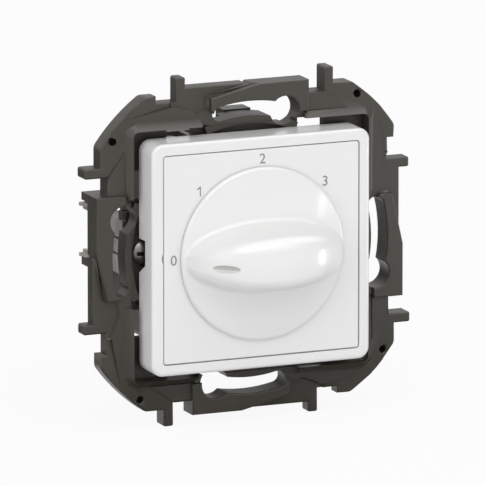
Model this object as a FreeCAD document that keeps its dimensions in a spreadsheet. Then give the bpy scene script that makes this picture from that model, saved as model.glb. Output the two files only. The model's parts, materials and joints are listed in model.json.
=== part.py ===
import FreeCAD, Part
import math
import os
import re
import Sketcher

# Fan speed control switch for a wall box.
# +X is right, +Z is up and the front faces -Y. The origin is the middle of the device on the wall plane,
# where the support frame's back lies. "front" sizes count forwards from the wall, "depth" sizes behind it.

SIZES = {
    # Support frame: plate, outer edge and locking tabs. Each side repeats every quarter turn.
    "frame_thickness": 4.0,
    "frame_margin": 6.9,
    "corner_margin": 14.4,
    "corner_blend": 2.0,
    "block_rise": 1.4,
    "block_start": 14.15,
    "block_end": 13.4,
    "mark_half": 0.6,
    "mark_depth": 0.45,
    "notch_depth": 1.5,
    "notch_start": 20.9,
    "tab_rise": 3.6,
    "tab_width": 2.2,
    "tab_near": 15.25,
    "tab_far": 18.45,
    "tab_corner": 0.45,
    # Support frame: sloped recess beside each raised keyhole platform.
    "recess_depth": 0.85,
    "recess_wall_angle": 25.0,
    "recess_corner_past": 1.4,
    "recess_corner_rise": 2.4,
    "recess_peak_along": 17.6,
    "recess_peak_rise": 4.4,
    "recess_dip_along": 12.2,
    "recess_dip_rise": 2.4,
    "platform_along": 9.1,
    "platform_foot_rise": 3.1,
    "platform_top_rise": 5.8,
    "platform_end_along": 2.0,
    "platform_rise": 1.25,
    "platform_edge": 0.35,
    "platform_skirt": 1.6,
    "shelf_rise": 0.3,
    "platform_corner_along": 22.6,
    "platform_notch_along": 17.2,
    # Support frame: window, lip, ledge, keyhole slots and corner holes.
    "window_gap": 2.0,
    "window_corner": 1.2,
    "lip_height": 1.7,
    "lip_width": 1.5,
    "lip_gap_start": 11.2,
    "lip_gap_end": 12.5,
    "ledge_front": 2.0,
    "ledge_slot_from": 12.0,
    "ledge_slot_to": 18.05,
    "ledge_slot_depth": 4.4,
    "slot_offset": 3.0,
    "slot_width": 3.3,
    "slot_head": 6.4,
    "slot_tail_angle": 13.0,
    "slot_head_angle": 15.5,
    "rib_gap": 0.1,
    "rib_front": 3.6,
    "rib_back": 0.2,
    "catch_back": 2.4,
    "catch_angle": 10.0,
    "rib_tail_angle": 20.5,
    "rib_head_angle": 24.0,
    "hole_inset": 1.5,
    "hole_angle": 38.86,
    "hole_diameter": 1.6,
    # White cover: bezel with a seat for the inset face plate.
    "cover_size": 50.0,
    "cover_corner": 2.5,
    "cover_front": 10.96,
    "cover_wall": 1.6,
    "cover_edge": 0.8,
    "rim_width": 2.4,
    "panel_gap": 0.25,
    "panel_corner": 0.55,
    "panel_thickness": 1.56,
    "panel_edge": 0.15,
    "seat_width": 1.2,
    "seat_thickness": 1.2,
    "pry_radius": 2.0,
    "pry_depth": 0.3,
    "pry_up": 0.5,
    "relief_height": 3.3,
    "relief_top": 3.8,
    "relief_foot": 3.6,
    "relief_slant": 2.0,
    "knob_hole": 13.0,
    # Knob.
    "knob_diameter": 37.3,
    "knob_gap": 0.3,
    "knob_rim": 0.9,
    "knob_rim_radius": 0.7,
    "knob_dome": 1.4,
    "grip_half_length": 17.95,
    "grip_half_width": 7.7,
    "grip_base": 0.2,
    "grip_height": 14.5,
    "grip_draft_angle": 9.0,
    "grip_shoulder": 3.8,
    "grip_crown": 15.0,
    "grip_foot": 1.2,
    "scoop_along": 12.7,
    "scoop_front": 21.75,
    "scoop_up": -0.4,
    "scoop_tilt": 38.4,
    "scoop_length": 6.2,
    "scoop_width": 1.7,
    "scoop_depth": 1.3,
    "hub_diameter": 11.0,
    "hub_rear": 9.1,
    # Spindle and its clip.
    "spindle_diameter": 6.0,
    "spindle_grip": 9.0,
    "spindle_square": 4.2,
    "pivot_diameter": 4.0,
    "pivot_length": 2.5,
    "running_clearance": 0.05,
    "clip_diameter": 9.6,
    "clip_thickness": 0.7,
    "clip_groove": 0.6,
    "clip_opening": 3.6,
    # Switch housing.
    "housing_inset": 4.5,
    "housing_wall": 1.8,
    "housing_corner": 1.5,
    "housing_split": 11.0,
    "housing_depth": 26.0,
    "housing_clearance": 0.3,
    "flange_inset": 0.8,
    "flange_thickness": 1.6,
    "bush_diameter": 11.0,
    "bush_front": 8.0,
    "latch_width": 6.2,
    "latch_inset": 1.4,
    "latch_thickness": 4.3,
    "screw_inset": 4.6,
    "boss_diameter": 6.4,
    "housing_screw_diameter": 2.6,
    "housing_screw_head": 4.6,
    "housing_screw_head_height": 1.8,
    "housing_screw_length": 20.0,
    "housing_screw_seat": 22.4,
    # Rotor, wiper and index spring.
    "rotor_radius": 13.4,
    "rotor_front": 1.4,
    "rotor_thickness": 4.0,
    "rotor_hub": 11.0,
    "rotor_hub_gap": 1.05,
    "index_notch_radius": 1.7,
    "index_notch_depth": 0.8,
    "index_angle": 45.0,
    "index_spring_thickness": 0.4,
    "index_spring_width": 3.0,
    "index_spring_half": 12.0,
    "index_spring_bend": 2.4,
    "wiper_width": 4.0,
    "wiper_thickness": 0.8,
    "wiper_inner": 6.1,
    "wiper_outer": 12.4,
    "contact_gap": 0.15,
    "spring_place": 8.9,
    "spring_diameter": 3.2,
    "spring_wire": 0.5,
    "spring_turns": 3.0,
    # Contacts and terminals.
    "contact_thickness": 0.8,
    "contact_radius": 10.5,
    "contact_pad": 4.2,
    "strip_gap": 0.8,
    "common_ring": 14.6,
    "common_bore": 5.4,
    "terminal_screw_gap": 0.9,
    "terminal_partition": 1.6,
    "terminal_front": 14.9,
    "terminal_length": 7.6,
    "terminal_depth": 10.2,
    "clamp_clearance": 0.2,
    "clamp_wall": 1.2,
    "clamp_height": 6.4,
    "leg_rise": 4.3,
    "leg_length": 7.0,
    "wire_entry": 4.3,
    "terminal_screw_diameter": 3.2,
    "terminal_screw_head": 5.4,
    "terminal_screw_head_height": 1.9,
    "terminal_screw_length": 3.2,
    # Spreading claws and their screws.
    "claw_screw_inset": 3.5,
    "claw_screw_up": 0.4,
    "claw_screw_diameter": 2.8,
    "claw_screw_head": 5.2,
    "claw_screw_head_height": 1.9,
    "claw_screw_length": 22.0,
    "claw_screw_clearance": 0.35,
    "claw_half_width": 5.9,
    "claw_sheet": 0.8,
    "claw_inset": 0.9,
    "claw_front": 3.0,
    "claw_rear": 25.2,
    "claw_flange": 2.6,
    "prong_reach": 0.9,
    "prong_length": 2.6,
    "prong_strip": 1.5,
    "prong_notch": 5.6,
    "tongue_half": 1.75,
    "tongue_slit": 0.5,
    "tongue_front": 4.6,
    "pivot_inset": 2.0,
    "claw_pivot_depth": 3.9,
    "trunnion_radius": 0.8,
    "trunnion_length": 1.5,
    "trunnion_clearance": 0.08,
    "leg_plate_depth": 13.2,
    "leg_plate_half": 3.2,
    "leg_plate_gap": 0.5,
    "cheek_gap": 0.3,
    "cheek_thickness": 1.7,
    "ear_radius": 1.5,
    "channel_depth": 3.3,
}

# Sizes that follow from the ones above, so that the frame, housing and claws stay fitted to the cover.
DERIVED = {
    "window_half": "cover_size / 2 + window_gap",
    "frame_half": "window_half + frame_margin",
    "corner_reach": "window_half + corner_margin",
    "block_reach": "frame_half + block_rise",
    "notch_floor": "frame_half - notch_depth",
    "tab_reach": "frame_half + tab_rise",
    "lip_foot": "window_half + lip_width",
    "recess_corner_along": "window_half + recess_corner_past",
    "recess_corner_out": "window_half + recess_corner_rise",
    "recess_peak_out": "window_half + recess_peak_rise",
    "recess_dip_out": "window_half + recess_dip_rise",
    "platform_foot_out": "window_half + platform_foot_rise",
    "platform_top_out": "window_half + platform_top_rise",
    "slot_circle": "window_half + slot_offset",
    "hole_circle": "corner_reach - hole_inset",
    "panel_size": "cover_size - 2 * (rim_width + panel_gap)",
    "flange_size": "cover_size - 2 * flange_inset",
    "rib_inner": "flange_size / 2 / cos(rib_head_angle * 1 deg) + rib_gap",
    "latch_reach": "slot_circle - latch_inset",
    "housing_width": "cover_size - 2 * housing_inset",
    "screw_place": "housing_width / 2 - screw_inset",
    "ledge_slot_in": "window_half - ledge_slot_depth",
    "rotor_hub_length": "housing_split - contact_thickness - contact_gap - rotor_front - rotor_hub_gap",
    "terminal_span": "screw_place - housing_screw_head / 2 - terminal_screw_gap",
    "terminal_width": "(terminal_span - terminal_partition) / 1.5",
    "terminal_spacing": "terminal_width + terminal_partition",
    "contact_strip": "terminal_width - 2 * (clamp_wall + strip_gap)",
    "terminal_floor": "housing_width / 2 - terminal_depth",
    "leg_height": "terminal_floor + leg_rise",
    "channel_floor": "housing_width / 2 - channel_depth",
    "leg_plate_in": "channel_floor + leg_plate_gap",
    "draft_sine": "sin(grip_draft_angle * 1 deg)",
    "draft_cosine": "cos(grip_draft_angle * 1 deg)",
    "shoulder_side": "grip_half_width - grip_shoulder * draft_cosine",
    "shoulder_drop": "grip_crown - grip_height - grip_shoulder * draft_sine",
    "shoulder_lean": "shoulder_side * draft_sine - shoulder_drop * draft_cosine",
    "crown_less": "grip_crown - grip_shoulder",
    "shoulder_reach": "sqrt(shoulder_lean ^ 2 - shoulder_side ^ 2 - shoulder_drop ^ 2 + crown_less ^ 2)",
    "flank_length": "shoulder_lean + shoulder_reach",
    "flank_in": "flank_length * draft_sine",
    "flank_up": "flank_length * draft_cosine",
    "crown_side": "grip_crown * (shoulder_side - flank_in) / crown_less",
    "crown_up": "grip_height - grip_crown + grip_crown * (flank_up + shoulder_drop) / crown_less",
    "claw_screw_across": "window_half - claw_screw_inset",
    "claw_out": "window_half - claw_inset",
    "pivot_across": "window_half - pivot_inset",
}

doc = FreeCAD.newDocument("fan_speed_switch")
sheet = doc.addObject("Spreadsheet::Sheet", "dims")
entries = {name: str(size) for name, size in SIZES.items()}
entries.update({name: "=" + formula for name, formula in DERIVED.items()})
for row, (name, entry) in enumerate(entries.items(), start=1):
    sheet.set(f"A{row}", name)
    sheet.set(f"B{row}", entry)
    sheet.setAlias(f"B{row}", name)
doc.recompute()

HALF_TURN = FreeCAD.Placement(FreeCAD.Vector(), FreeCAD.Rotation(FreeCAD.Vector(0, 1, 0), 180))
nodes = []


def value(expression):
    """The number that an expression of size names gives."""
    return float(sheet.evalExpression(expression))


def bound(expression):
    """The same expression with its size names pointed at the sheet."""
    return re.sub(r"[a-z]\w*", lambda word: "dims." + word[0] if word[0] in entries else word[0], expression)


def new_body(label):
    body = doc.addObject("PartDesign::Body", label)
    body.Label = label
    nodes.append(body)
    return body


def origin_part(body, role):
    return next(part for part in body.Origin.OriginFeatures if part.Role == role)


# Sketch outlines. A corner is (x, y) or (x, y, radius), where the radius bends the edge that leaves it,
# positive to the left and negative to the right.

def corners(points):
    def add(sketch):
        places = [FreeCAD.Vector(value(point[0]), value(point[1]), 0) for point in points]
        first = sketch.GeometryCount
        edges = []
        ends = []
        for number, point in enumerate(points):
            start = places[number]
            end = places[(number + 1) % len(points)]
            if len(point) == 2:
                edges.append(Part.LineSegment(start, end))
                ends.append((1, 2))
                continue
            radius = value(point[2])
            chord = end - start
            side = FreeCAD.Vector(-chord.y, chord.x, 0).normalize()
            middle_height = math.sqrt(max(radius ** 2 - chord.Length ** 2 / 4, 0))
            centre = start + chord * 0.5 + side * math.copysign(middle_height, radius)
            from_angle = math.atan2(start.y - centre.y, start.x - centre.x)
            to_angle = math.atan2(end.y - centre.y, end.x - centre.x)
            circle = Part.Circle(centre, FreeCAD.Vector(0, 0, 1), abs(radius))
            if radius > 0:
                edges.append(Part.ArcOfCircle(circle, from_angle, to_angle))
                ends.append((1, 2))
            else:
                edges.append(Part.ArcOfCircle(circle, to_angle, from_angle))
                ends.append((2, 1))
        sketch.addGeometry(edges)
        ties = []
        for number, point in enumerate(points):
            before = number - 1 if number else len(points) - 1
            ties.append((Sketcher.Constraint("Coincident", first + before, ends[before][1],
                                             first + number, ends[number][0]), None))
            for kind, expression in (("DistanceX", point[0]), ("DistanceY", point[1])):
                ties.append((Sketcher.Constraint(kind, -1, 1, first + number, ends[number][0],
                                                 value(expression)), expression))
            if len(point) == 3:
                ties.append((Sketcher.Constraint("Radius", first + number, abs(value(point[2]))),
                             f"abs({point[2]})"))
        tie_down(sketch, ties)
    return add


def circle(x, y, diameter):
    def add(sketch):
        place = FreeCAD.Vector(value(x), value(y), 0)
        index = sketch.addGeometry(Part.Circle(place, FreeCAD.Vector(0, 0, 1), value(diameter) / 2))
        tie_down(sketch, [
            (Sketcher.Constraint("DistanceX", -1, 1, index, 3, place.x), x),
            (Sketcher.Constraint("DistanceY", -1, 1, index, 3, place.y), y),
            (Sketcher.Constraint("Radius", index, value(diameter) / 2), f"({diameter}) / 2"),
        ])
    return add


def tie_down(sketch, ties):
    """Add the constraints, each size-driven one bound to its expression."""
    numbers = sketch.addConstraint([constraint for constraint, _ in ties])
    for number, (_, expression) in zip(numbers, ties):
        if expression is not None:
            sketch.setExpression(f"Constraints[{number}]", bound(expression))


def rectangle(left, right, low, high):
    return corners([(left, low), (right, low), (right, high), (left, high)])


def rounded_square(half, radius):
    flat = f"({half}) - ({radius})"
    points = []
    for turn in range(4):
        points.append(turned((f"-({flat})", half), turn))
        points.append(turned((flat, half), turn) + (f"-({radius})",))
    return corners(points)


def ring_sector(inner, outer, start, end):
    """Part of a ring about the origin, with its angles counted clockwise from straight up."""
    return corners([
        on_circle(inner, start) + (f"-({inner})",),
        on_circle(inner, end),
        on_circle(outer, end) + (outer,),
        on_circle(outer, start),
    ])


def on_circle(radius, angle):
    return f"({radius}) * sin(({angle}) * 1 deg)", f"({radius}) * cos(({angle}) * 1 deg)"


def turned(point, turn):
    """A point turned clockwise by quarter turns."""
    x, y = point
    return [(x, y), (y, f"-({x})"), (f"-({x})", f"-({y})"), (f"-({y})", x)][turn]


# Features. On the XZ plane a pad grows forwards and a pocket cuts backwards from "at".

def draw(body, name, loops, at="0", plane="XZ_Plane"):
    sketch = body.newObject("Sketcher::SketchObject", name + "_sketch")
    sketch.AttachmentSupport = [(origin_part(body, plane), "")]
    sketch.MapMode = "FlatFace"
    sketch.setExpression("AttachmentOffset.Base.z", bound(at))
    for add in loops:
        add(sketch)
    return sketch


def pad(body, name, loops, at, length, plane="XZ_Plane"):
    feature = body.newObject("PartDesign::Pad", name)
    feature.Profile = draw(body, name, loops, at, plane)
    feature.setExpression("Length", bound(length))
    body.Tip = feature
    return feature


def pocket(body, name, loops, at, depth, plane="XZ_Plane"):
    sketch = draw(body, name, loops, at, plane)
    feature = body.newObject("PartDesign::Pocket", name)
    feature.Profile = sketch
    feature.setExpression("Length", bound(depth))
    body.Tip = feature
    return feature


def revolution(body, name, loop, kind="PartDesign::Revolution"):
    """Turn an outline of radius and Y about the Y axis."""
    sketch = draw(body, name, [loop], "0", "XY_Plane")
    feature = body.newObject(kind, name)
    feature.Profile = sketch
    feature.ReferenceAxis = (sketch, ["V_Axis"])
    feature.Angle = 360
    body.Tip = feature
    return feature


def repeat_around(body, name, features, count):
    pattern = body.newObject("PartDesign::PolarPattern", name)
    pattern.Originals = features
    pattern.Axis = (origin_part(body, "Y_Axis"), [""])
    pattern.Angle = 360
    pattern.Occurrences = count
    body.Tip = pattern
    return pattern


def dress(body, name, kind, size_property, size_expression, wanted):
    """Fillet or chamfer the edges of the body so far that the test picks."""
    doc.recompute()
    base = body.Tip
    picked = [f"Edge{number}" for number, edge in enumerate(base.Shape.Edges, start=1) if wanted(edge)]
    feature = body.newObject(kind, name)
    feature.Base = (base, picked)
    feature.setExpression(size_property, bound(size_expression))
    body.Tip = feature
    return feature


def along_y(edge):
    ends = [vertex.Point for vertex in edge.Vertexes]
    return len(ends) == 2 and abs((ends[0] - ends[1]).normalize().y) > 0.999


def in_front_plane(edge, front):
    return all(abs(vertex.Y + value(front)) < 0.001 for vertex in edge.Vertexes)


def make_support_frame():
    body = new_body("support_frame")
    flat = "sqrt(corner_reach ^ 2 - frame_half ^ 2)"
    edge = []
    for turn in range(4):
        edge.append(turned((f"-({flat})", "frame_half"), turn))
        edge.append(turned((flat, "frame_half"), turn) + ("-corner_reach",))
    opening = rounded_square("housing_width / 2 + housing_clearance", "housing_corner + housing_clearance")
    pad(body, "plate", [corners(edge), opening], "0", "frame_thickness")
    dress(body, "corner_blends", "PartDesign::Fillet", "Radius", "corner_blend",
          lambda e: along_y(e) and e.Vertexes[0].Point.Length > value("frame_half"))

    lip = pad(body, "lip", [rounded_square("lip_foot", "window_corner + lip_width")],
              "frame_thickness", "lip_height")
    lip.setExpression("TaperAngle", bound("-atan(lip_width / lip_height)"))
    pocket(body, "window", [rounded_square("window_half", "window_corner")],
           "frame_thickness + lip_height", "frame_thickness + lip_height - ledge_front")

    near_left = "-tab_near - tab_width / 2"
    near_right = "-tab_near + tab_width / 2"
    far_left = "tab_far - tab_width / 2"
    far_right = "tab_far + tab_width / 2"
    block = pad(body, "block", [corners([
        ("-block_start", "notch_floor"), ("block_end", "notch_floor"), ("block_end", "block_reach"),
        ("mark_half", "block_reach"), ("0", "block_reach - mark_depth"), ("-mark_half", "block_reach"),
        ("-block_start", "block_reach")])], "0", "frame_thickness")
    notches = pocket(body, "notches", [
        rectangle("-notch_start", near_left, "notch_floor", "tab_reach"),
        rectangle("block_end", far_left, "notch_floor", "tab_reach")], "frame_thickness", "frame_thickness")
    tabs = pad(body, "tabs", [
        rectangle(near_left, near_right, "notch_floor", "tab_reach"),
        rectangle(far_left, far_right, "notch_floor", "tab_reach")], "0", "frame_thickness")
    lip_gap = pocket(body, "lip_gap", [rectangle(
        "-lip_gap_start", "lip_gap_end", "window_half - window_corner", "lip_foot + window_corner")],
        "frame_thickness + lip_height", "lip_height")
    shelf = pad(body, "shelf", [corners([
        ("platform_corner_along", "lip_foot"), ("platform_notch_along", "notch_floor"),
        ("block_end", "notch_floor"), ("block_end", "lip_foot")])], "frame_thickness", "shelf_rise")
    platform = pad(body, "platform", [corners([
        ("-platform_along", "platform_foot_out"), ("-platform_along + platform_skirt", "lip_foot"),
        ("block_end", "lip_foot"), ("block_end", "block_reach"), ("platform_end_along", "block_reach"),
        ("-platform_along", "platform_top_out")])], "frame_thickness", "platform_rise")
    recess = pocket(body, "recess", [corners([
        ("-recess_peak_along", "recess_peak_out"), ("-recess_dip_along", "recess_dip_out"),
        ("-platform_along", "platform_foot_out"), ("-platform_along", "platform_top_out"),
        ("platform_end_along", "block_reach"), ("platform_end_along", "tab_reach + mark_half"),
        ("-recess_peak_along", "tab_reach + mark_half")])], "frame_thickness", "recess_depth")
    recess.setExpression("TaperAngle", bound("-recess_wall_angle * 1 deg"))
    ramp = pocket(body, "recess_ramp", [corners([
        ("0", "recess_corner_out"), ("recess_corner_along - recess_peak_along", "recess_peak_out"),
        ("recess_corner_along - recess_peak_along", "tab_reach"), ("0", "tab_reach")])],
        "frame_thickness", "frame_thickness")
    ramp.Reversed = True
    ramp_sketch = ramp.Profile[0]
    ramp_sketch.AttachmentOffset = FreeCAD.Placement(
        FreeCAD.Vector(), FreeCAD.Rotation(FreeCAD.Vector(0, 1, 0), 1))
    ramp_sketch.setExpression("AttachmentOffset.Base.x", bound("-recess_corner_along"))
    ramp_sketch.setExpression("AttachmentOffset.Rotation.Angle",
                              bound("atan(recess_depth / (recess_corner_along - recess_peak_along))"))
    slot_inner = "slot_circle - slot_width / 2"
    slot_outer = "slot_circle + slot_width / 2"
    rib = pad(body, "rib", [ring_sector("rib_inner", slot_inner, "-rib_tail_angle", "rib_head_angle")],
              "-rib_back", "rib_back + rib_front")
    front = "frame_thickness + platform_rise"
    reach = f"{front} + rib_back"
    slot = pocket(body, "slot", [ring_sector(slot_inner, slot_outer, "-slot_tail_angle", "slot_head_angle")],
                  front, reach)
    slot_tail = pocket(body, "slot_tail", [circle(*on_circle("slot_circle", "-slot_tail_angle"), "slot_width")],
                       front, reach)
    slot_head = pocket(body, "slot_head", [circle(*on_circle("slot_circle", "slot_head_angle"), "slot_head")],
                       front, reach)
    ledge_slots = pocket(body, "ledge_slots", [
        rectangle("-ledge_slot_to", "-ledge_slot_from", "ledge_slot_in", "window_half"),
        rectangle("ledge_slot_from", "ledge_slot_to", "ledge_slot_in", "window_half")],
        "ledge_front", "ledge_front")
    hole = pocket(body, "corner_hole", [circle(*on_circle("hole_circle", "hole_angle"), "hole_diameter")],
                  "frame_thickness", "frame_thickness")
    repeat_around(body, "sides", [block, notches, tabs, lip_gap, shelf, platform, recess, ramp, rib, slot,
                                  slot_tail, slot_head, ledge_slots, hole], 4)
    latch_catch = pad(body, "latch_catch", [ring_sector(
        "rib_inner", slot_inner, "-catch_angle", "catch_angle")], "-catch_back", "catch_back")
    repeat_around(body, "latch_catches", [latch_catch], 2)
    tip = value("tab_reach")
    dress(body, "tab_corners", "PartDesign::Fillet", "Radius", "tab_corner",
          lambda e: along_y(e) and max(abs(e.Vertexes[0].X), abs(e.Vertexes[0].Z)) > tip - 0.001)
    dress(body, "platform_edges", "PartDesign::Fillet", "Radius", "platform_edge",
          lambda e: in_front_plane(e, front))
    claw_hole = "claw_screw_diameter + 2 * claw_screw_clearance"
    pocket(body, "claw_screw_holes", [
        circle("-claw_screw_across", "claw_screw_up", claw_hole),
        circle("claw_screw_across", "-claw_screw_up", claw_hole)], "ledge_front", "ledge_front")


def make_bezel():
    body = new_body("bezel")
    outer = rounded_square("cover_size / 2", "cover_corner")
    seat_front = "cover_front - panel_thickness"
    wall_front = f"{seat_front} - seat_thickness"
    rear = "ledge_front + flange_thickness"
    opening = "panel_size / 2 + panel_gap"
    inner = rounded_square("cover_size / 2 - cover_wall", "cover_corner - cover_wall")
    pad(body, "walls", [outer, inner], rear, f"{wall_front} - ({rear})")
    pad(body, "seat", [outer, rounded_square(f"{opening} - seat_width", "panel_gap")],
        wall_front, "seat_thickness")
    pad(body, "rim", [outer, rounded_square(opening, "panel_corner + panel_gap")],
        seat_front, "panel_thickness")
    half = value("cover_size") / 2
    dress(body, "soft_edge", "PartDesign::Fillet", "Radius", "cover_edge",
          lambda e: in_front_plane(e, "cover_front")
          and max(abs(e.Vertexes[0].X), abs(e.Vertexes[0].Z)) > half - 0.001)
    relief = [
        (rear, "relief_top"), (f"{rear} + relief_height", "relief_top"),
        (f"{rear} + relief_height", "-relief_foot + relief_slant"), (rear, "-relief_foot")]
    left = pocket(body, "screw_relief", [corners([(f"-({front})", up) for front, up in relief])],
                  "-cover_size / 2 + 2 * cover_wall", "3 * cover_wall", "YZ_Plane")
    repeat_around(body, "screw_reliefs", [left], 2)
    pocket(body, "pry_notch", [circle(f"pry_radius - pry_depth - ({opening})", "pry_up", "2 * pry_radius")],
           "cover_front", "panel_thickness")


def make_face_plate():
    body = new_body("face_plate")
    pad(body, "plate_blank", [rounded_square("panel_size / 2", "panel_corner"), circle("0", "0", "knob_hole")],
        "cover_front - panel_thickness", "panel_thickness")
    half = value("panel_size") / 2
    dress(body, "plate_edge", "PartDesign::Chamfer", "Size", "panel_edge",
          lambda e: in_front_plane(e, "cover_front")
          and max(abs(e.Vertexes[0].X), abs(e.Vertexes[0].Z)) > half - 0.5)


# Where the grip's cross-sections stand, as shares of its half length.
GRIP_STATIONS = [-0.998, -0.97, -0.88, -0.65, -0.3, 0.0, 0.3, 0.65, 0.88, 0.97, 0.998]


def grip_section(base, share):
    """A cross-section with drafted flanks, rounded shoulders and a crowned front, smaller towards the tips."""
    scale = f"sqrt(1 - ({share}) ^ 2)"
    foot = f"-({base})"
    flank = f"-({base} + flank_up * {scale})"
    crown = f"-({base} + crown_up * {scale})"
    front = f"-({base} + grip_height * {scale})"
    flank_side = f"(grip_half_width - flank_in) * {scale}"
    return corners([
        (foot, f"-grip_half_width * {scale}"),
        (foot, f"grip_half_width * {scale}"),
        (flank, flank_side, f"grip_shoulder * {scale}"),
        (crown, f"crown_side * {scale}", f"grip_crown * {scale}"),
        (crown, f"-crown_side * {scale}", f"grip_shoulder * {scale}"),
        (flank, f"-({flank_side})")])


def make_knob():
    body = new_body("knob")
    back = "cover_front + knob_gap"
    rim = f"{back} + knob_rim"
    top = f"{back} + knob_rim + knob_dome"
    radius = "knob_diameter / 2"
    dome_radius = "(knob_dome ^ 2 + (knob_diameter / 2) ^ 2) / (2 * knob_dome)"
    revolution(body, "disc", corners([
        ("0", f"-({back})"), ("0", f"-({top})", dome_radius), (radius, f"-({rim})"), (radius, f"-({back})")]))
    dress(body, "disc_edge", "PartDesign::Fillet", "Radius", "knob_rim_radius",
          lambda e: in_front_plane(e, rim) and e.BoundBox.XLength > 1)
    sections = [draw(body, f"grip_section_{number}", [grip_section(f"{back} + grip_base", share)],
                     f"{share} * grip_half_length", "YZ_Plane") for number, share in enumerate(GRIP_STATIONS)]
    grip = body.newObject("PartDesign::AdditiveLoft", "grip")
    grip.Profile = sections[0]
    grip.Sections = sections[1:]
    body.Tip = grip
    pocket(body, "flat_back", [rounded_square("knob_diameter", "knob_rim")], back, "grip_height + knob_dome")
    dress(body, "grip_root", "PartDesign::Fillet", "Radius", "grip_foot",
          lambda e: e.BoundBox.YMin < -value(rim) - 0.05 and e.BoundBox.XLength > value("grip_half_length"))
    scoop = body.newObject("PartDesign::SubtractiveEllipsoid", "pointer_scoop")
    scoop.setExpression("Radius1", bound("scoop_width / 2"))
    scoop.setExpression("Radius2", bound("scoop_length / 2"))
    scoop.setExpression("Radius3", bound("scoop_depth"))
    scoop.Placement = FreeCAD.Placement(FreeCAD.Vector(), FreeCAD.Rotation(FreeCAD.Vector(0, 0, -1), 1))
    scoop.setExpression("Placement.Base.x", bound("-scoop_along"))
    scoop.setExpression("Placement.Base.y", bound("-scoop_front"))
    scoop.setExpression("Placement.Base.z", bound("scoop_up"))
    scoop.setExpression("Placement.Rotation.Angle", bound("scoop_tilt * 1 deg"))
    body.Tip = scoop
    pad(body, "hub", [circle("0", "0", "hub_diameter")], "hub_rear", f"{back} - hub_rear + knob_rim")
    pocket(body, "spindle_bore", [circle("0", "0", "spindle_diameter + 2 * running_clearance")],
           "hub_rear + spindle_grip + clip_thickness", "spindle_grip + clip_thickness")


def make_spindle():
    body = new_body("spindle")
    radius = "spindle_diameter / 2"
    groove_front = "bush_front + running_clearance + clip_thickness + running_clearance"
    groove_rear = "bush_front"
    revolution(body, "shaft", corners([
        ("0", "-(hub_rear + spindle_grip)"), (radius, "-(hub_rear + spindle_grip)"),
        (radius, f"-({groove_front})"), (f"{radius} - clip_groove", f"-({groove_front})"),
        (f"{radius} - clip_groove", f"-({groove_rear})"), (radius, f"-({groove_rear})"),
        (radius, "rotor_front"), ("0", "rotor_front")]))
    pad(body, "square", [rounded_square("spindle_square / 2", "running_clearance")],
        "-(rotor_front + rotor_hub_length)", "rotor_hub_length")
    pad(body, "pivot", [circle("0", "0", "pivot_diameter")],
        "-(housing_split + pivot_length)", "housing_split + pivot_length - rotor_front - rotor_hub_length")


def make_spindle_clip():
    body = new_body("spindle_clip")
    bore = "spindle_diameter - 2 * clip_groove + 2 * running_clearance"
    pad(body, "clip", [circle("0", "0", "clip_diameter"), circle("0", "0", bore)],
        "bush_front + running_clearance", "clip_thickness")
    pocket(body, "clip_mouth", [rectangle("-clip_opening / 2", "clip_opening / 2", "-clip_diameter", "0")],
           "bush_front + clip_diameter", "2 * clip_diameter")


def make_housing_front():
    body = new_body("housing_front")
    half = "housing_width / 2"
    outer = rounded_square(half, "housing_corner")
    bore = "spindle_diameter + 2 * running_clearance"
    pad(body, "walls", [outer], "-housing_split", "housing_split + ledge_front")
    pad(body, "flange", [rounded_square("flange_size / 2", "housing_corner")],
        "ledge_front", "flange_thickness")
    pad(body, "bush", [circle("0", "0", "bush_diameter")], "ledge_front", "bush_front - ledge_front")
    ear_up = "claw_half_width + cheek_gap"
    ear_points = [("-pivot_across", "claw_pivot_depth - ear_radius", "-ear_radius"),
                  ("-(pivot_across + ear_radius)", "claw_pivot_depth", "-ear_radius"),
                  ("-pivot_across", "claw_pivot_depth + ear_radius"),
                  (f"-({half}) + housing_wall", "claw_pivot_depth + ear_radius"),
                  (f"-({half}) + housing_wall", "claw_pivot_depth - ear_radius")]
    hole = circle("-pivot_across", "claw_pivot_depth", "2 * (trunnion_radius + trunnion_clearance)")
    upper = pad(body, "ear_upper", [corners(ear_points), hole],
                f"claw_screw_up + {ear_up}", "cheek_thickness", "XY_Plane")
    lower = pad(body, "ear_lower", [corners(ear_points), hole],
                f"claw_screw_up - ({ear_up}) - cheek_thickness", "cheek_thickness", "XY_Plane")
    latch = pad(body, "latch", [rectangle(
        "-latch_width / 2", "latch_width / 2", f"{half} - housing_wall", "latch_reach")],
        "-(catch_back + latch_thickness)", "latch_thickness")
    repeat_around(body, "both_sides", [upper, lower, latch], 2)
    pocket(body, "cavity", [rounded_square(f"{half} - housing_wall", "housing_corner")], "0", "housing_split")
    boss = pad(body, "boss", [circle("screw_place", "screw_place", "boss_diameter")],
               "-housing_split", "housing_split")
    pilot = pocket(body, "pilot_hole", [circle("screw_place", "screw_place",
                                               "housing_screw_diameter + 2 * running_clearance")],
                   "-(housing_screw_seat - housing_screw_length - clamp_clearance)", "housing_depth")
    repeat_around(body, "bosses", [boss, pilot], 4)
    pocket(body, "bush_bore", [circle("0", "0", bore)], "bush_front", "bush_front")
    head = "claw_screw_head + 2 * claw_screw_clearance"
    notch = pocket(body, "head_notch", [
        circle("-claw_screw_across", "claw_screw_up", head)],
        "ledge_front + flange_thickness", "flange_thickness")
    shank = pocket(body, "shank_notch", [rectangle(
        "-flange_size / 2 - housing_wall", "-claw_screw_across", f"claw_screw_up - ({head}) / 2",
        f"claw_screw_up + ({head}) / 2")], "ledge_front + flange_thickness", "flange_thickness")
    repeat_around(body, "screw_notches", [notch, shank], 2)


def terminal_places():
    """Label and place of each terminal: across in spacings, and which way its chamber opens."""
    return [("speed_1", -1, 1), ("speed_2", 0, 1), ("speed_3", 1, 1), ("common", 0, -1)]


def across(spacings):
    return f"{spacings} * terminal_spacing"


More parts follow.
